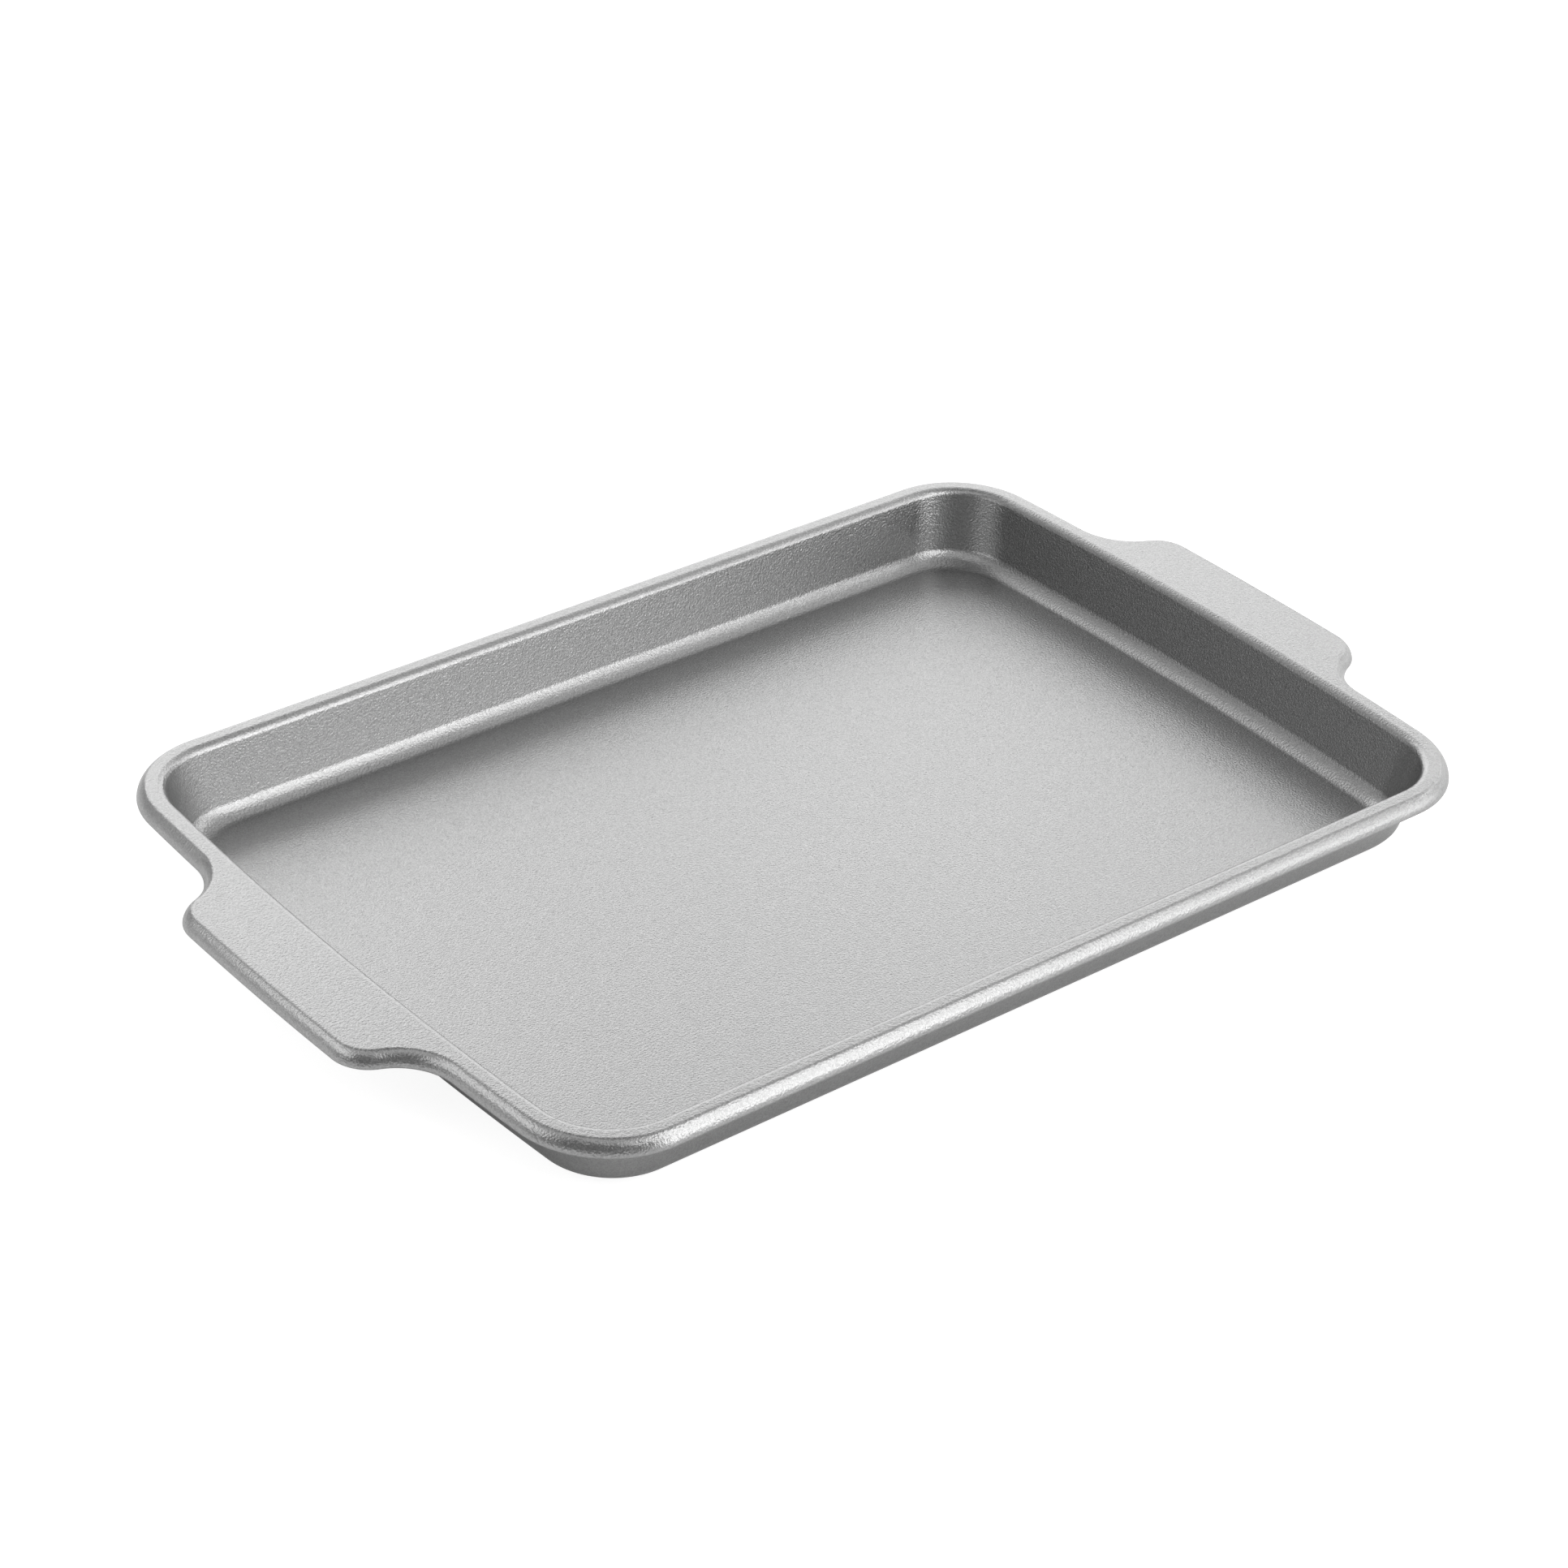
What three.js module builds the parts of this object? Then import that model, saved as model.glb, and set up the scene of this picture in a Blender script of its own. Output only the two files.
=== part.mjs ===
// Cookie sheet: one pressed steel sheet with a flat floor, drafted walls and a flat rim that widens into
// a handle tab at each short end. The sheet's outer edge is rolled round a steel wire, tabs included.
// Millimetres, +Z up, X along the length, origin under the middle of the floor.
import * as THREE from 'three';

// Driving dimensions: millimetres, and degrees for angles
const floorLength = 378.8; // inside, down the middle, at the sharp corner of floor and wall
const floorWidth = 255;
const endBow = 4.8; // each short side bows out this far between its ends
const floorCorner = 26; // in plan, at the sharp corner of floor and wall
const rimCorner = 32.9; // in plan, at the start of the roll
const endOverhang = 12.4; // from the sharp corner out to the start of the roll, at the short sides
const sheet = 0.8;
const height = 29.1; // underside of the floor to the top of the rim
const wallDraft = 11.8; // of the long sides
const floorFillet = 7.2; // upper surface, floor to wall
const rimEdgeRadius = 3.3; // upper surface, wall to rim
const rimFlat = 2.9; // flat top between the rim's inner edge and the roll
const rollTop = 2.2; // radii round the outer side of the roll: over the top, down its flatter face,
const rollFace = 6.6; // round its foot, back under the wire and up again behind it
const rollFoot = 1.1;
const rollBase = 33;
const rollCurl = 1.9;
const wireDiameter = 3.8;
const wireOut = -0.2; // middle of the wire from the start of the roll, outwards
const wireDrop = 2.95; // and below the rim's top
const wireJoint = 1.2; // between the wire's two butted ends
const handleReach = 22.3; // tab's edge beyond the rim's edge
const handleWidth = 106; // across the tab's corners, at the start of the roll
const handleCorner = 11.1; // plan radius of the tab's corner, at the start of the roll
const handleFillet = 26.3; // plan radius from the tab's corner into the rim, at the start of the roll

// Facets per curve
const filletSteps = 4;
const rimEdgeSteps = 3;
const wireSides = 10;
const edgeSteps = 3; // half of a tab's edge
const handleCornerSteps = 5;
const handleFilletSteps = 5;
const rimSteps = 2; // between a tab and a corner
const cornerSteps = 8;
const sideSteps = 2; // half of a long side

const radians = THREE.MathUtils.degToRad;
const heading = (angle) => new THREE.Vector2(Math.cos(angle), Math.sin(angle));
const offset = (point, direction, distance) => point.clone().addScaledVector(direction, distance);

// Section across the rim: u runs outwards from the sharp corner of floor and wall, z up
const wallSlope = radians(90 - wallDraft);
const tangentShare = Math.tan(wallSlope / 2);
const filletCentre = { u: -floorFillet * tangentShare, z: sheet + floorFillet };
const wallTop = (height - sheet) * Math.tan(radians(wallDraft));
const rimEdgeCentre = { u: wallTop + rimEdgeRadius * tangentShare, z: height - rimEdgeRadius };
const rollStart = rimEdgeCentre.u + rimFlat;
const rollArcs = [
  { radius: rollTop, endTilt: radians(35), facets: 2 },
  { radius: rollFace, endTilt: radians(81), facets: 3 },
  { radius: rollFoot, endTilt: radians(180), facets: 3 },
  { radius: rollBase, endTilt: radians(187.5), facets: 1 },
  { radius: rollCurl, endTilt: radians(285), facets: 4 },
];

// Plan: the floor's and the rim's outlines each have an arc at both ends, an arc at each corner
// and two straight sides
const halfWidth = floorWidth / 2;
const endRadius = (halfWidth ** 2 + endBow ** 2) / (2 * endBow);
const endCentre = new THREE.Vector2(floorLength / 2 - endRadius, 0);
const rimEndRadius = endRadius + endOverhang;

function steps(from, to, count) {
  return Array.from({ length: count + 1 }, (_, i) => from + ((to - from) * i) / count);
}

// Where two circles cross, on the left going from the first centre to the second
function circlesCross(first, firstRadius, second, secondRadius) {
  const apart = first.distanceTo(second);
  const towards = second.clone().sub(first).divideScalar(apart);
  const left = new THREE.Vector2(-towards.y, towards.x);
  const reach = (apart ** 2 + firstRadius ** 2 - secondRadius ** 2) / (2 * apart);
  return offset(offset(first, towards, reach), left, Math.sqrt(firstRadius ** 2 - reach ** 2));
}

// Start of the roll round half a tab, from the middle of its edge to where it meets the rim:
// the edge's arc, a convex corner and a concave fillet, each tangent to the next
function handlePath() {
  const edgeRadius = rimEndRadius + handleReach;
  const convexY = handleWidth / 2 - handleCorner;
  const convexArm = edgeRadius - handleCorner;
  const convex = new THREE.Vector2(endCentre.x + Math.sqrt(convexArm ** 2 - convexY ** 2), convexY);
  const concave = circlesCross(endCentre, rimEndRadius + handleFillet, convex, handleCorner + handleFillet);
  const edgeEnd = convex.clone().sub(endCentre).angle();
  const turnOver = concave.clone().sub(convex).angle();
  const rimStart = concave.clone().sub(endCentre).angle();
  const path = [
    ...arc(endCentre, edgeRadius, steps(0, edgeEnd, edgeSteps)),
    ...arc(convex, handleCorner, steps(edgeEnd, turnOver, handleCornerSteps).slice(1)),
    ...arc(concave, -handleFillet, steps(turnOver, rimStart, handleFilletSteps).slice(1)),
  ];
  return { path, rimStart };
}

function arc(centre, radius, angles) {
  return angles.map((angle) => ({ point: offset(centre, heading(angle), radius), normal: heading(angle) }));
}

// A quarter of an outline, with as many stations beside a tab as the tab's own edge has
function outlineQuarter(radius, sideY, corner, { path, rimStart }) {
  const travelled = [0];
  for (let i = 1; i < path.length; i += 1) {
    travelled.push(travelled[i - 1] + path[i].point.distanceTo(path[i - 1].point));
  }
  const cornerArm = radius - corner;
  const cornerY = sideY - corner;
  const cornerCentre = new THREE.Vector2(endCentre.x + Math.sqrt(cornerArm ** 2 - cornerY ** 2), cornerY);
  const cornerStart = Math.asin(cornerY / cornerArm);
  const side = steps(cornerCentre.x, 0, sideSteps).slice(1);
  return [
    ...arc(endCentre, radius, travelled.map((distance) => (rimStart * distance) / travelled.at(-1))),
    ...arc(endCentre, radius, steps(rimStart, cornerStart, rimSteps).slice(1, -1)),
    ...arc(cornerCentre, corner, steps(cornerStart, Math.PI / 2, cornerSteps)),
    ...side.map((x) => ({ point: new THREE.Vector2(x, sideY), normal: heading(Math.PI / 2) })),
  ];
}

// A quarter mirrored into a whole loop, anticlockwise seen from above
function wholeLoop(quarter) {
  const mirror = (stations, x, y) => {
    const flip = new THREE.Vector2(x, y);
    return stations.map(({ point, normal }) =>
      ({ point: point.clone().multiply(flip), normal: normal.clone().multiply(flip) }));
  };
  const back = [...quarter, ...mirror(quarter.slice(0, -1), -1, 1).reverse()];
  return [...back, ...mirror(back.slice(1, -1), 1, -1).reverse()];
}

const tab = handlePath();
const rimQuarter = outlineQuarter(rimEndRadius, halfWidth + rollStart, rimCorner, tab);
const floorLine = wholeLoop(outlineQuarter(endRadius, halfWidth, floorCorner, tab));
const rimLine = wholeLoop(rimQuarter);
const edgeLine = wholeLoop([...tab.path, ...rimQuarter.slice(tab.path.length)]);

// A ring of the wall: u is measured across a long side, and in proportion elsewhere
const wallRing = ([u, z]) =>
  floorLine.map(({ point }, i) => new THREE.Vector3(...point.clone().lerp(rimLine[i].point, u / rollStart), z));

const edgePoint = ({ point, normal }, { out, drop }) =>
  new THREE.Vector3(...offset(point, normal, out), height - drop);

// A face of the sheet from the floor to the roll, `depth` below the upper surface
function wallSection(depth) {
  const fillet = floorFillet + depth;
  const rimEdge = rimEdgeRadius - depth;
  return [
    ...steps(0, wallSlope, filletSteps).map((tilt) =>
      [filletCentre.u + fillet * Math.sin(tilt), filletCentre.z - fillet * Math.cos(tilt)]),
    ...steps(wallSlope, 0, rimEdgeSteps).map((tilt) =>
      [rimEdgeCentre.u - rimEdge * Math.sin(tilt), rimEdgeCentre.z + rimEdge * Math.cos(tilt)]),
  ];
}

// A face of the roll from the rim's top round to the sheet's edge, `depth` inside the outer surface
function rollSection(depth) {
  const section = [{ out: 0, drop: depth }];
  let foot = { out: 0, drop: 0 };
  let startTilt = 0;
  for (const { radius, endTilt, facets } of rollArcs) {
    const along = (tilt, reach, from) =>
      ({ out: from.out + reach * Math.sin(tilt), drop: from.drop - reach * Math.cos(tilt) });
    const centre = along(startTilt, -radius, foot);
    section.push(...steps(startTilt, endTilt, facets).slice(1).map((tilt) => along(tilt, radius - depth, centre)));
    foot = along(endTilt, radius, centre);
    startTilt = endTilt;
  }
  return section;
}

// Joins closed rings of equal length into a skin and ends it with the given caps
function skin(rings, caps) {
  const count = rings[0].length;
  const index = [...caps];
  for (let k = 0; k + 1 < rings.length; k += 1) {
    for (let i = 0; i < count; i += 1) {
      const here = k * count;
      const next = here + count;
      const after = (i + 1) % count;
      index.push(here + i, next + i, next + after, here + i, next + after, here + after);
    }
  }
  const geometry = new THREE.BufferGeometry().setFromPoints(rings.flat());
  geometry.setIndex(index);
  geometry.computeVertexNormals();
  return geometry;
}

function panShell() {
  const rollRing = (place) => edgeLine.map((station) => edgePoint(station, place));
  const rings = [
    ...wallSection(0).map(wallRing),
    ...rollSection(0).map(rollRing),
    ...rollSection(sheet).reverse().map(rollRing),
    ...wallSection(sheet).reverse().map(wallRing),
  ];
  const floor = THREE.ShapeUtils.triangulateShape(rings[0].map(({ x, y }) => new THREE.Vector2(x, y)), []);
  const under = THREE.ShapeUtils.triangulateShape(rings.at(-1).map(({ x, y }) => new THREE.Vector2(x, y)), []);
  const lastRing = edgeLine.length * (rings.length - 1);
  const caps = [...floor.flat(), ...under.flatMap(([a, b, c]) => [lastRing + a, lastRing + c, lastRing + b])];
  return skin(rings, caps);
}

// The wire lies in the roll all the way round, with its ends butted at the middle of a long side
function rimWire() {
  const joint = edgeLine.findIndex(({ point }) => Math.abs(point.x) < wireJoint / 4 && point.y > 0);
  const { point, normal } = edgeLine[joint];
  const end = (x) => ({ point: new THREE.Vector2(x, point.y), normal });
  const stations = [
    end(-wireJoint / 2),
    ...edgeLine.slice(joint + 1),
    ...edgeLine.slice(0, joint),
    end(wireJoint / 2),
  ];
  const radius = wireDiameter / 2;
  const section = steps(2 * Math.PI, 0, wireSides).slice(0, -1).map((turn) =>
    ({ out: wireOut + radius * Math.sin(turn), drop: wireDrop - radius * Math.cos(turn) }));
  const rings = stations.map((station) => section.map((place) => edgePoint(station, place)));
  const lastRing = wireSides * (stations.length - 1);
  const caps = [];
  for (let i = 1; i + 1 < wireSides; i += 1) {
    caps.push(0, i, i + 1, lastRing, lastRing + i + 1, lastRing + i);
  }
  return skin(rings, caps);
}

function part(name, geometry, color, roughness) {
  const mesh = new THREE.Mesh(geometry, new THREE.MeshStandardMaterial({ color, roughness, metalness: 0.9 }));
  mesh.name = name;
  return mesh;
}

const cookieSheet = new THREE.Group();
cookieSheet.add(part('pan_shell', panShell(), 0x9d9d9d, 0.38));
cookieSheet.add(part('rim_wire', rimWire(), 0x8a8a88, 0.5));

export default cookieSheet;
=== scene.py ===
"""Cookie sheet: a satin silver-grey coated steel sheet with a wire in its rolled edge, on a white floor."""

import math

import bpy
from mathutils import Matrix, Vector


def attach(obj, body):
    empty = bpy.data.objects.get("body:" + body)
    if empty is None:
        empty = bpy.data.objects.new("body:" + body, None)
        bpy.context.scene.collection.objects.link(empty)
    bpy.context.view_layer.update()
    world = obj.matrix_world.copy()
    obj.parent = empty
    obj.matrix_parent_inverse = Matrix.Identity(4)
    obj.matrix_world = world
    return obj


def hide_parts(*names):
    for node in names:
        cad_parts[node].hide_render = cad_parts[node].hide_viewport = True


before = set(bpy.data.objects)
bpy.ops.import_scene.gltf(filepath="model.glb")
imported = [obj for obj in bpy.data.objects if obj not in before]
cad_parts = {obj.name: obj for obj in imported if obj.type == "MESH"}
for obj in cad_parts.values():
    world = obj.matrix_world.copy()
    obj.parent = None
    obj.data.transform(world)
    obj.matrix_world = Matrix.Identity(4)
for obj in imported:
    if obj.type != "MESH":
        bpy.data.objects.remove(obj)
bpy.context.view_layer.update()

MM = 0.001

# Section of the sheet and its wire
SHEET = 0.8 * MM
HEIGHT = 29.1 * MM
WALL_DRAFT_DEGREES = 11.8  # of the long sides
RIM_EDGE = 3.3 * MM  # radius of the upper surface from wall to rim
RIM_FLAT = 2.9 * MM
WIRE_RADIUS = 1.9 * MM
WIRE_JOINT = 1.2 * MM  # gap between the wire's two ends
WIRE_OUT = -0.2 * MM  # middle of the wire from where the roll starts, outwards
WIRE_DROP = 2.95 * MM  # and down from the rim's top

# Upper surface from floor to wall: radius of each arc, and its tilt in degrees where it ends
FILLET_START = (5 * MM, 25)
FILLET_FACE = (8.6 * MM, 62)
FILLET_END = (4.5 * MM, 90 - WALL_DRAFT_DEGREES)
FILLET_ARCS = (FILLET_START, FILLET_FACE, FILLET_END)

# Outer side of the roll from the rim's top, in the same way
ROLL_TOP = (2.2 * MM, 35)
ROLL_FACE = (6.6 * MM, 81)
ROLL_FOOT = (1.1 * MM, 180)
ROLL_BASE = (33 * MM, 187.5)
ROLL_CURL = (1.9 * MM, 285)
ROLL_ARCS = (ROLL_TOP, ROLL_FACE, ROLL_FOOT, ROLL_BASE, ROLL_CURL)

# Plan of the sheet
FLOOR_HALF_WIDTH = 127.5 * MM
FLOOR_HALF_LENGTH = 189.4 * MM
FLOOR_CORNER = 26 * MM  # at the sharp corner of floor and wall
RIM_CORNER = 32.9 * MM  # at the start of the roll
END_BOW = 4.8 * MM  # each short side bows out this far between its ends
END_OVERHANG = 12.4 * MM  # from the sharp corner out to the start of the roll, at the short sides
HANDLE_REACH = 22.3 * MM
HANDLE_WIDTH = 106 * MM
HANDLE_CORNER = 11.1 * MM
HANDLE_FILLET = 26.3 * MM

# Steps per curve, fine enough that reflections run smoothly over every bend
RIM_EDGE_STEPS = 14
BEND_STEP = math.radians(5)
FEWEST_BEND_STEPS = 3
WIRE_SIDES = 24
HANDLE_EDGE_STEPS = 14
HANDLE_CORNER_STEPS = 16
HANDLE_FILLET_STEPS = 16
RIM_STEPS = 8
CORNER_STEPS = 24
SIDE_STEPS = 20
FLOOR_RINGS = 8
FLAT_FACE_WEIGHT = 100  # keeps the shading of flat faces flat up to the bends beside them

# Derived section: u runs outwards from the sharp corner of floor and wall across a long side, z up
WALL_DRAFT = math.radians(WALL_DRAFT_DEGREES)
WALL_SLOPE = math.pi / 2 - WALL_DRAFT
RIM_EDGE_U = (HEIGHT - SHEET) * math.tan(WALL_DRAFT) + RIM_EDGE * math.tan(WALL_SLOPE / 2)
RIM_EDGE_Z = HEIGHT - RIM_EDGE
ROLL_U = RIM_EDGE_U + RIM_FLAT
WALL_TOP_U = RIM_EDGE_U - RIM_EDGE * math.sin(WALL_SLOPE)
END_STRETCH = END_OVERHANG / ROLL_U - 1

# Derived plan: an arc at each end, an arc at each corner and two straight sides
END_RADIUS = (FLOOR_HALF_WIDTH**2 + END_BOW**2) / (2 * END_BOW)
END_CENTRE = Vector((FLOOR_HALF_LENGTH - END_RADIUS, 0))
RIM_END_RADIUS = END_RADIUS + END_OVERHANG
RIM_HALF_WIDTH = FLOOR_HALF_WIDTH + ROLL_U


def heading(angle):
    return Vector((math.cos(angle), math.sin(angle)))


def angle_of(vector):
    return math.atan2(vector.y, vector.x)


def steps(start, end, count):
    """Values from start to end, both included, in count even steps."""
    return [start + (end - start) * i / count for i in range(count + 1)]


def circles_cross(first, first_radius, second, second_radius):
    """Where two circles cross, on the left going from the first centre to the second."""
    apart = (second - first).length
    towards = (second - first) / apart
    left = Vector((-towards.y, towards.x))
    reach = (apart**2 + first_radius**2 - second_radius**2) / (2 * apart)
    return first + towards * reach + left * math.sqrt(first_radius**2 - reach**2)


def handle_path():
    """(point, normal) where the roll starts round half a tab, and the direction in which it meets the rim."""
    edge_arc = RIM_END_RADIUS + HANDLE_REACH
    convex_y = HANDLE_WIDTH / 2 - HANDLE_CORNER
    convex_arm = edge_arc - HANDLE_CORNER
    convex = Vector((END_CENTRE.x + math.sqrt(convex_arm**2 - convex_y**2), convex_y))
    concave_arm = RIM_END_RADIUS + HANDLE_FILLET
    concave = circles_cross(END_CENTRE, concave_arm, convex, HANDLE_CORNER + HANDLE_FILLET)
    edge_end = angle_of(convex - END_CENTRE)
    turn_over = angle_of(concave - convex)
    rim_start = angle_of(concave - END_CENTRE)

    def arc(centre, radius, angles):
        return [(centre + heading(angle) * radius, heading(angle)) for angle in angles]

    path = arc(END_CENTRE, edge_arc, steps(0, edge_end, HANDLE_EDGE_STEPS))
    path += arc(convex, HANDLE_CORNER, steps(edge_end, turn_over, HANDLE_CORNER_STEPS)[1:])
    path += arc(concave, -HANDLE_FILLET, steps(turn_over, rim_start, HANDLE_FILLET_STEPS)[1:])
    return path, rim_start


def outline_quarter(end_radius, half_width, corner, path, rim_start):
    """(point, normal) round a quarter of an outline, at stations that match those of the handle's path."""
    travelled = [0.0]
    for before, after in zip(path, path[1:]):
        travelled.append(travelled[-1] + (after[0] - before[0]).length)
    corner_arm = end_radius - corner
    corner_y = half_width - corner
    centre = Vector((END_CENTRE.x + math.sqrt(corner_arm**2 - corner_y**2), corner_y))
    corner_start = math.asin(corner_y / corner_arm)
    end_angles = [rim_start * distance / travelled[-1] for distance in travelled]
    end_angles += steps(rim_start, corner_start, RIM_STEPS)[1:-1]
    quarter = [(END_CENTRE + heading(angle) * end_radius, heading(angle)) for angle in end_angles]
    for angle in steps(corner_start, math.pi / 2, CORNER_STEPS):
        quarter.append((centre + heading(angle) * corner, heading(angle)))
    for x in steps(centre.x, 0, SIDE_STEPS)[1:]:
        quarter.append((Vector((x, half_width)), heading(math.pi / 2)))
    return quarter


def whole_loop(quarter):
    """A quarter of (point, normal) mirrored into a whole loop, anticlockwise seen from above."""

    def mirror(stations, x, y):
        return [tuple(Vector((v.x * x, v.y * y)) for v in station) for station in reversed(stations)]

    back = quarter + mirror(quarter[:-1], -1, 1)
    return back + mirror(back[1:-1], 1, -1)


def plan_lines():
    """Loops with matching stations: the floor's sharp corner, the rim without tabs, and the roll's start."""
    path, rim_start = handle_path()
    floor = outline_quarter(END_RADIUS, FLOOR_HALF_WIDTH, FLOOR_CORNER, path, rim_start)
    rim = outline_quarter(RIM_END_RADIUS, RIM_HALF_WIDTH, RIM_CORNER, path, rim_start)
    return whole_loop(floor), whole_loop(rim), whole_loop(path + rim[len(path):])


def flange_points(rim_line, u):
    """Points of the flange, inwards from the rim's line and further in at the short sides."""
    return [edge - normal * (ROLL_U - u) * (1 + END_STRETCH * normal.x**2) for edge, normal in rim_line]


def wall_ring(floor_line, rim_line, u, z):
    """A ring of the wall or the flange."""
    if u > WALL_TOP_U:
        points = flange_points(rim_line, u)
    else:
        share = u / WALL_TOP_U
        wall_top = flange_points(rim_line, WALL_TOP_U)
        points = [foot.lerp(top, share) for (foot, _), top in zip(floor_line, wall_top)]
    return [(*point, z) for point in points]


def edge_ring(roll_line, out, drop):
    """Points beside the line where the roll starts, `out` beyond it and `drop` below the rim's top."""
    return [(*(edge + normal * out), HEIGHT - drop) for edge, normal in roll_line]


def bend(arcs, offset):
    """(run, fall) along arcs that start level and tilt ever more, moved away from their centres by offset."""
    run, fall, start = 0.0, 0.0, 0.0
    points = [(0.0, -offset)]
    for radius, end_degrees in arcs:
        end = math.radians(end_degrees)
        centre_run = run - radius * math.sin(start)
        centre_fall = fall + radius * math.cos(start)
        reach = radius + offset
        count = max(FEWEST_BEND_STEPS, math.ceil((end - start) / BEND_STEP))
        for tilt in steps(start, end, count)[1:]:
            points.append((centre_run + reach * math.sin(tilt), centre_fall - reach * math.cos(tilt)))
        run = centre_run + radius * math.sin(end)
        fall = centre_fall - radius * math.cos(end)
        start = end
    return points


def roll_section(depth):
    """(out, drop) round the roll from the rim's top, `depth` inside its outer surface."""
    return bend(ROLL_ARCS, -depth)


def wall_section(depth):
    """(u, z) up the sheet from the floor to the rim, `depth` below its upper surface."""
    run, rise = bend(FILLET_ARCS, 0)[-1]
    fillet_start = rise * math.tan(WALL_DRAFT) - run
    rim_edge = RIM_EDGE - depth
    section = [(fillet_start + out, SHEET + up) for out, up in bend(FILLET_ARCS, depth)]
    for tilt in steps(WALL_SLOPE, 0, RIM_EDGE_STEPS):
        u = RIM_EDGE_U - rim_edge * math.sin(tilt)
        section.append((u, RIM_EDGE_Z + rim_edge * math.cos(tilt)))
    return section


def floor_rings(outline):
    """Rings that shrink a floor outline towards its middle, the smallest first."""
    shares = [i / FLOOR_RINGS for i in range(1, FLOOR_RINGS)]
    return [[(x * share, y * share, z) for x, y, z in outline] for share in shares]


def mesh_object(name, points, faces, material):
    mesh = bpy.data.meshes.new(name)
    mesh.from_pydata(points, [], faces)
    mesh.validate()
    mesh.shade_smooth()
    mesh.materials.append(material)
    piece = bpy.data.objects.new(name, mesh)
    bpy.context.scene.collection.objects.link(piece)
    return piece


def ring_skin(name, rings, material):
    """A closed skin over rings of equal size: quads from each ring to the next, and a face at either end."""
    size = len(rings[0])
    last = size * (len(rings) - 1)
    faces = []
    for here in range(0, last, size):
        there = here + size
        for i in range(size):
            j = (i + 1) % size
            faces.append((here + i, there + i, there + j, here + j))
    faces.append(tuple(range(size)))
    faces.append(tuple(last + i for i in reversed(range(size))))
    return mesh_object(name, [point for ring in rings for point in ring], faces, material)


def coated_sheet(floor_line, rim_line, roll_line, material):
    """The pressed sheet in its real thickness: floor, walls, rim, handle tabs and rolled edge in one skin."""
    upper = [wall_ring(floor_line, rim_line, u, z) for u, z in wall_section(0)]
    roll_outer = [edge_ring(roll_line, out, drop) for out, drop in roll_section(0)]
    roll_inner = [edge_ring(roll_line, out, drop) for out, drop in reversed(roll_section(SHEET))]
    under = [wall_ring(floor_line, rim_line, u, z) for u, z in reversed(wall_section(SHEET))]
    floor_top = floor_rings(upper[0])
    floor_under = list(reversed(floor_rings(under[-1])))
    rings = floor_top + upper + roll_outer + roll_inner + under + floor_under
    sheet = ring_skin("coated_sheet", rings, material)
    flats = sheet.modifiers.new("flat_faces_stay_flat", "WEIGHTED_NORMAL")
    flats.weight = FLAT_FACE_WEIGHT
    return sheet


def edge_wire(roll_line, material):
    """The wire inside the rolled edge, with its two ends at the middle of the far long side."""
    joint = len(roll_line) // 4
    edge, normal = roll_line[joint]
    half_gap = Vector((WIRE_JOINT / 2, 0))
    first = (edge - half_gap, normal)
    last = (edge + half_gap, normal)
    stations = [first] + roll_line[joint + 1:] + roll_line[:joint] + [last]
    columns = []
    for turn in steps(2 * math.pi, 0, WIRE_SIDES)[:-1]:
        out = WIRE_OUT + WIRE_RADIUS * math.sin(turn)
        drop = WIRE_DROP - WIRE_RADIUS * math.cos(turn)
        columns.append(edge_ring(stations, out, drop))
    return ring_skin("edge_wire", list(zip(*columns)), material)


# Metals: size of the flakes, grey and roughness from the darkest flake to the lightest, and their ripple
COATING = {
    "flake_size": 0.4 * MM,
    "greys": (0.3, 0.4),
    "roughnesses": (0.31, 0.35),
    "ripple_size": 0.8 * MM,
    "ripple_strength": 1.0,
    "ripple_depth": 0.15 * MM,
}
WIRE_STEEL = {
    "flake_size": 0.6 * MM,
    "greys": (0.36, 0.46),
    "roughnesses": (0.4, 0.55),
    "ripple_size": 0.6 * MM,
    "ripple_strength": 0.2,
    "ripple_depth": 0.1 * MM,
}
RIPPLE_DETAIL = 1.0


def new_material(name):
    """A material with an empty tree, its Principled shader and its output joined."""
    material = bpy.data.materials.new(name)
    material.use_nodes = True
    tree = material.node_tree
    tree.nodes.clear()
    shader = tree.nodes.new("ShaderNodeBsdfPrincipled")
    output = tree.nodes.new("ShaderNodeOutputMaterial")
    tree.links.new(shader.outputs["BSDF"], output.inputs["Surface"])
    return material, tree, shader


def grain_group():
    """Fine grain in the surface: a height for bump, and a mask that differs from flake to flake."""
    group = bpy.data.node_groups.new("fine_grain", "ShaderNodeTree")
    group.interface.new_socket("Scale", in_out="INPUT", socket_type="NodeSocketFloat")
    group.interface.new_socket("Height", in_out="OUTPUT", socket_type="NodeSocketFloat")
    group.interface.new_socket("Mask", in_out="OUTPUT", socket_type="NodeSocketFloat")
    nodes = group.nodes
    entry = nodes.new("NodeGroupInput")
    leave = nodes.new("NodeGroupOutput")
    place = nodes.new("ShaderNodeTexCoord")
    height = nodes.new("ShaderNodeTexNoise")
    height.inputs["Detail"].default_value = RIPPLE_DETAIL
    flakes = nodes.new("ShaderNodeTexVoronoi")
    shade = nodes.new("ShaderNodeSeparateColor")
    link = group.links.new
    for texture in (height, flakes):
        link(place.outputs["Object"], texture.inputs["Vector"])
        link(entry.outputs["Scale"], texture.inputs["Scale"])
    link(flakes.outputs["Color"], shade.inputs["Color"])
    link(height.outputs["Fac"], leave.inputs["Height"])
    link(shade.outputs["Red"], leave.inputs["Mask"])
    return group


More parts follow.
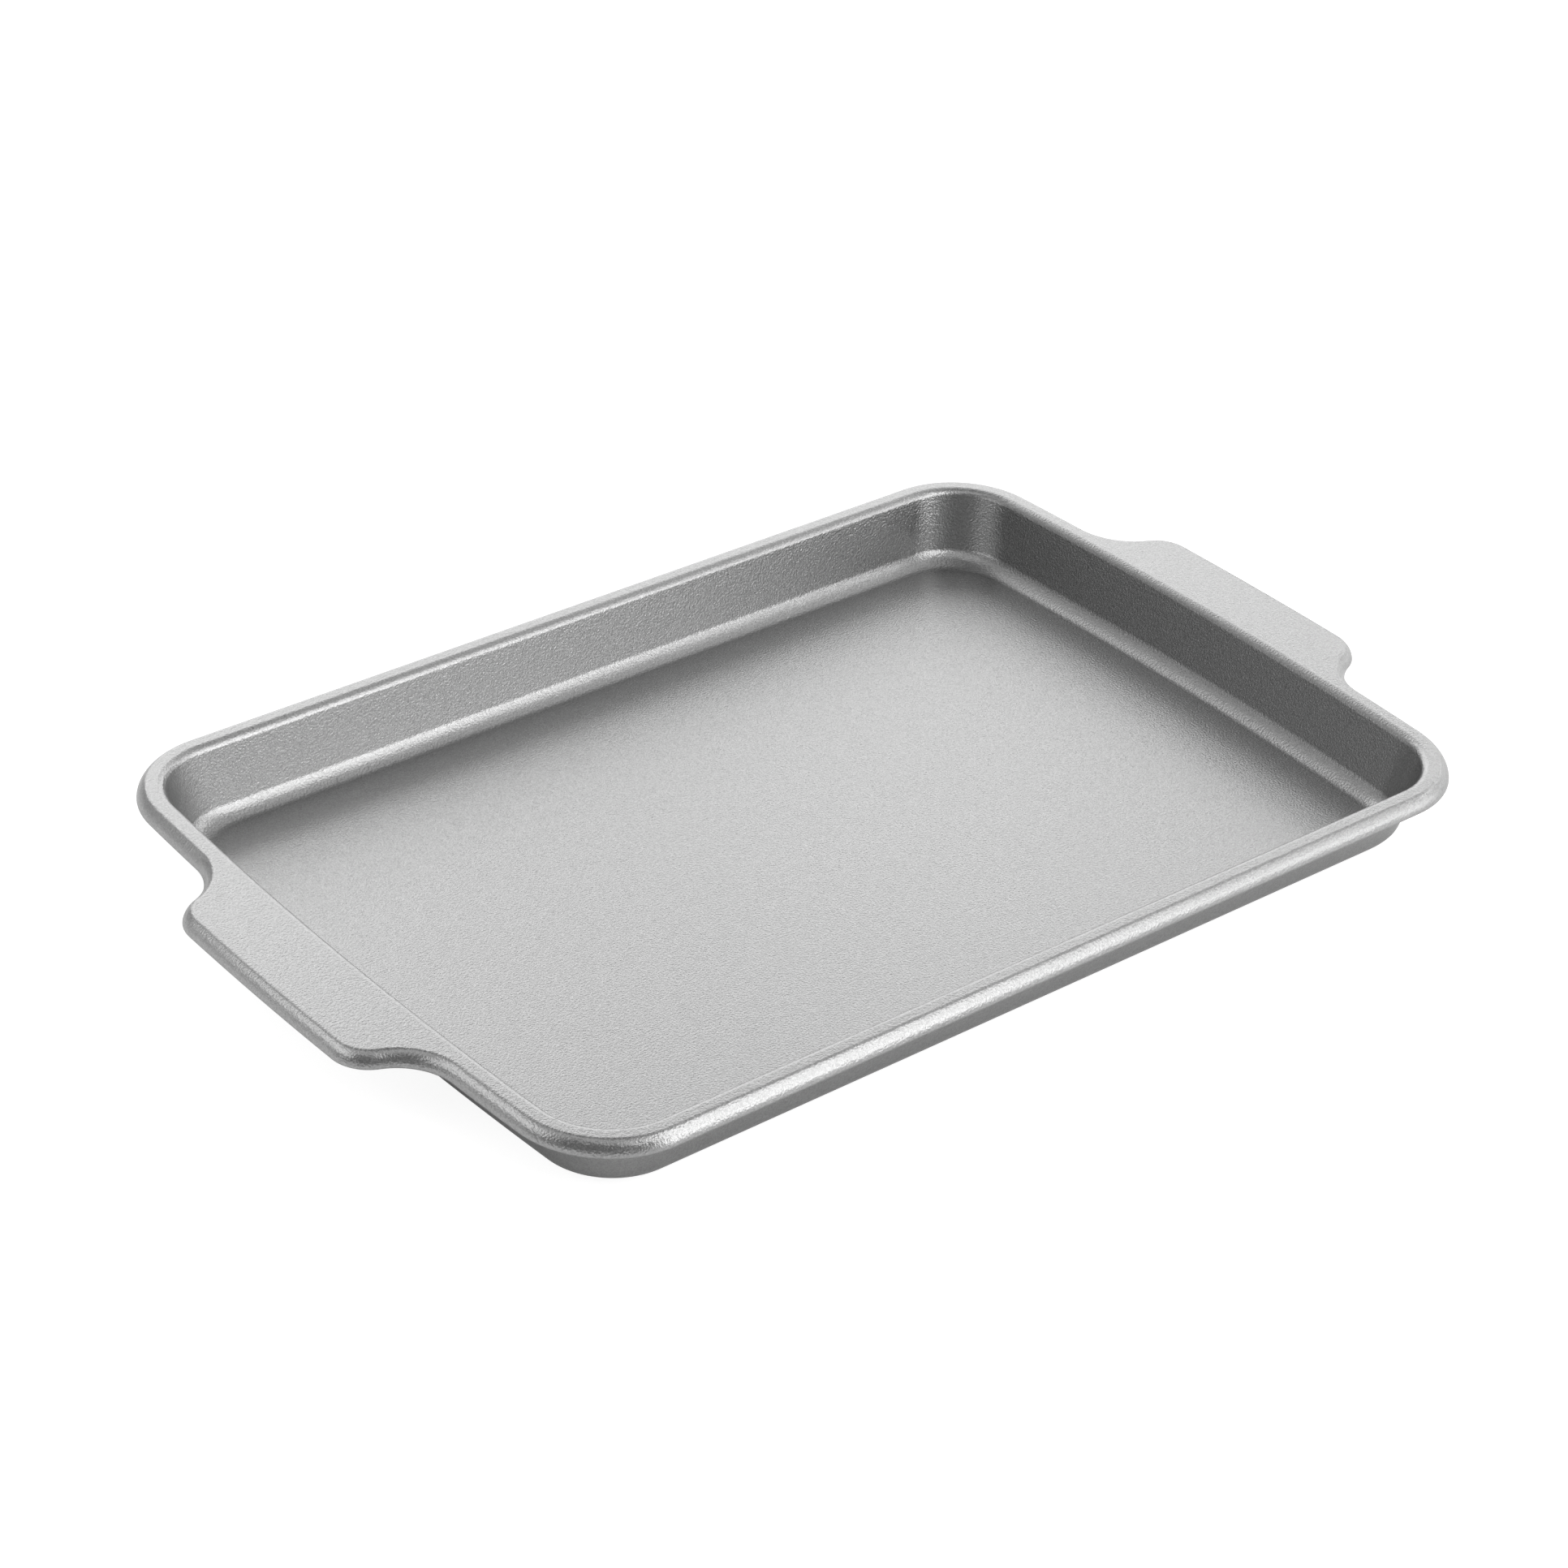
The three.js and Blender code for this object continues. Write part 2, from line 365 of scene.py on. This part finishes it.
def grain_node(tree, group, size):
    node = tree.nodes.new("ShaderNodeGroup")
    node.node_tree = group
    node.inputs["Scale"].default_value = 1 / size
    return node


def spread(tree, value, low, high):
    """Maps a mask of 0 to 1 onto low to high."""
    node = tree.nodes.new("ShaderNodeMapRange")
    node.inputs["To Min"].default_value = low
    node.inputs["To Max"].default_value = high
    tree.links.new(value, node.inputs["Value"])
    return node.outputs["Result"]


def bump(tree, height, strength, depth):
    node = tree.nodes.new("ShaderNodeBump")
    node.inputs["Strength"].default_value = strength
    node.inputs["Distance"].default_value = depth
    tree.links.new(height, node.inputs["Height"])
    return node.outputs["Normal"]


def grey(tree, value):
    """A neutral colour from a value."""
    node = tree.nodes.new("ShaderNodeCombineColor")
    for channel in ("Red", "Green", "Blue"):
        tree.links.new(value, node.inputs[channel])
    return node.outputs["Color"]


def math_node(tree, operation, *values):
    """A math node; each input is a number or a socket."""
    node = tree.nodes.new("ShaderNodeMath")
    node.operation = operation
    for socket, value in zip(node.inputs, values):
        if isinstance(value, (int, float)):
            socket.default_value = value
        else:
            tree.links.new(value, socket)
    return node.outputs["Value"]


def metal_material(
    name, group, flake_size, greys, roughnesses, ripple_size, ripple_strength, ripple_depth
):
    """Satin metal, with flakes that sparkle a little."""
    material, tree, shader = new_material(name)
    mask = grain_node(tree, group, flake_size).outputs["Mask"]
    height = grain_node(tree, group, ripple_size).outputs["Height"]
    ripple = bump(tree, height, ripple_strength, ripple_depth)
    shader.inputs["Metallic"].default_value = 1.0
    tree.links.new(grey(tree, spread(tree, mask, *greys)), shader.inputs["Base Color"])
    tree.links.new(spread(tree, mask, *roughnesses), shader.inputs["Roughness"])
    tree.links.new(ripple, shader.inputs["Normal"])
    return material


# Studio floor: what the camera sees of it, what the metal mirrors of it, and how it takes light
STUDIO_GLOW = 0.89  # towards the camera
STUDIO_SHADOW = 0.34  # colour to the camera, over which the sheet's shadow falls
STUDIO_COLOUR = 0.8  # colour to all other light
STUDIO_MIRRORED = 0.23  # glow of the open floor in the sheet's reflections
STUDIO_PAINTED_SHADE = 0.08  # and under the sheet, a painted shade where the sheet's shadow falls
PAINTED_SHADE_HALF = (0.2, 0.137)  # half length and half width of that painted shade, in metres
PAINTED_SHADE_EDGE = 0.015  # over which it fades out
STUDIO_HALF_WIDTH = 6.0  # in metres
STUDIO_GAP = 0.2 * MM  # below the sheet, so that no two faces lie in one plane

# Light: even fill from the room, and soft lamps that face the sheet, each with its azimuth and elevation in
# degrees, its distance, width and height in metres, and its brightness, where 1 is white
ROOM_FILL = 0.23
LAMPS = {
    "back_panel": (61, 21, 2.2, 2.2, 1.7, 1.75),
    "back_middle": (42, 33, 0.6, 0.2, 0.14, 0.25),
    "back_left_high": (82, 46, 2.2, 1.2, 0.9, 1.05),
    "left_side": (122, 38, 2.2, 1.5, 1.2, 0.5),
    "right_strip": (290, 15, 2.2, 0.75, 0.7, 2.65),
    "right_low": (310, 9, 2.2, 2.4, 0.65, 2.4),
    "right_mid": (352, 30, 2.2, 3.2, 0.46, 2.9),
    "overhead_right": (351, 58, 2.2, 3.2, 1.3, 0.65),
    "overhead_left": (196, 67, 2.2, 2.0, 1.2, 0.7),
    "front_mid": (270, 45, 2.2, 1.2, 0.8, 1.45),
    "front_card": (290, 38, 0.75, 0.4, 0.45, 2.25),
    "left_low_card": (131, 8.5, 0.55, 0.65, 0.12, 0.45),
    "left_mid_card": (167, 25, 0.55, 0.4, 0.2, 1.6),
    "right_card": (1, 8, 0.75, 0.6, 0.16, 1.45),
}


def mirrored_glow_with_painted_shade(tree):
    """Glow of the studio floor in reflections, with a painted shade under the sheet: less glow there than out
    in the open.
    """
    place = tree.nodes.new("ShaderNodeTexCoord").outputs["Object"]
    axes = tree.nodes.new("ShaderNodeSeparateXYZ")
    tree.links.new(place, axes.inputs["Vector"])
    # painted shade: the glow drops from the open floor to a rectangle under the sheet
    beyond = [
        math_node(tree, "SUBTRACT", math_node(tree, "ABSOLUTE", axes.outputs[axis]), half)
        for axis, half in zip(("X", "Y"), PAINTED_SHADE_HALF)
    ]
    outside = math_node(tree, "DIVIDE", math_node(tree, "MAXIMUM", *beyond), PAINTED_SHADE_EDGE)
    return spread(tree, outside, STUDIO_PAINTED_SHADE, STUDIO_MIRRORED)


def studio_floor():
    """A white floor that keeps a faint shadow, with a painted shade under the sheet in its reflections."""
    material, tree, shader = new_material("white_floor")
    rays = tree.nodes.new("ShaderNodeLightPath").outputs
    camera = rays["Is Camera Ray"]
    mirrored = math_node(tree, "MAXIMUM", rays["Is Glossy Ray"], rays["Is Transmission Ray"])
    reflection = math_node(tree, "MULTIPLY", mirrored, mirrored_glow_with_painted_shade(tree))
    glow = math_node(tree, "MULTIPLY_ADD", camera, STUDIO_GLOW, reflection)
    colour = grey(tree, spread(tree, camera, STUDIO_COLOUR, STUDIO_SHADOW))
    tree.links.new(colour, shader.inputs["Base Color"])
    tree.links.new(glow, shader.inputs["Emission Strength"])
    shader.inputs["Emission Color"].default_value = (1, 1, 1, 1)
    shader.inputs["Roughness"].default_value = 1.0
    shader.inputs["Specular IOR Level"].default_value = 0.0
    signs = ((-1, -1), (1, -1), (1, 1), (-1, 1))
    corners = [(x * STUDIO_HALF_WIDTH, y * STUDIO_HALF_WIDTH, -STUDIO_GAP) for x, y in signs]
    floor = mesh_object("studio_floor", corners, [(0, 1, 2, 3)], material)


def soft_lamp(name, azimuth, elevation, distance, width, height, brightness):
    """A flat soft lamp turned to the sheet."""
    side = heading(math.radians(azimuth)) * math.cos(math.radians(elevation))
    towards = Vector((side.x, side.y, math.sin(math.radians(elevation))))
    data = bpy.data.lights.new(name, "AREA")
    data.shape = "RECTANGLE"
    data.size = width
    data.size_y = height
    data.energy = math.pi * width * height * brightness
    lamp = bpy.data.objects.new(name, data)
    lamp.location = towards * distance
    lamp.rotation_euler = (-towards).to_track_quat("-Z", "Y").to_euler()
    lamp.visible_camera = False
    bpy.context.scene.collection.objects.link(lamp)


def studio_light():
    """An even fill from the room, white where the camera looks past the floor, and soft lamps all round."""
    world = bpy.data.worlds.new("studio")
    world.use_nodes = True
    tree = world.node_tree
    rays = tree.nodes.new("ShaderNodeLightPath").outputs
    background = tree.nodes["Background"]
    background.inputs["Color"].default_value = (1, 1, 1, 1)
    tree.links.new(spread(tree, rays["Is Camera Ray"], ROOM_FILL, 1.0), background.inputs["Strength"])
    bpy.context.scene.world = world
    for name, values in LAMPS.items():
        soft_lamp(name, *values)


# Camera of the photograph: place in metres, turns in degrees, lens and sensor width in millimetres
CAMERA_PLACE = Vector((-0.81238, -0.94764, 0.80409))
CAMERA_YAW = math.radians(-40.302)
CAMERA_PITCH = math.radians(32.065)
CAMERA_ROLL = math.radians(2.708)
CAMERA_LENS = 95.419
CAMERA_SENSOR = 36


def photo_camera():
    data = bpy.data.cameras.new("photo_camera")
    data.sensor_width = CAMERA_SENSOR
    data.lens = CAMERA_LENS
    camera = bpy.data.objects.new("photo_camera", data)
    level = math.cos(CAMERA_PITCH)
    back = Vector((math.sin(CAMERA_YAW) * level, -math.cos(CAMERA_YAW) * level, math.sin(CAMERA_PITCH)))
    right = Vector((math.cos(CAMERA_YAW), math.sin(CAMERA_YAW), 0))
    up = back.cross(right)
    turn = Matrix.Rotation(CAMERA_ROLL, 3, back)
    axes = Matrix((turn @ right, turn @ up, back)).transposed()
    camera.matrix_world = Matrix.Translation(CAMERA_PLACE) @ axes.to_4x4()
    bpy.context.scene.collection.objects.link(camera)
    bpy.context.scene.camera = camera


def main():
    floor_line, rim_line, roll_line = plan_lines()
    grain = grain_group()
    coating = metal_material("satin_coating", grain, **COATING)
    sheet = coated_sheet(floor_line, rim_line, roll_line, coating)
    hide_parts("pan_shell")
    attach(sheet, "root")
    wire = edge_wire(roll_line, metal_material("drawn_wire", grain, **WIRE_STEEL))
    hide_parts("rim_wire")
    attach(wire, "root")
    studio_floor()
    studio_light()
    photo_camera()
    bpy.context.scene.view_settings.view_transform = "Standard"


main()
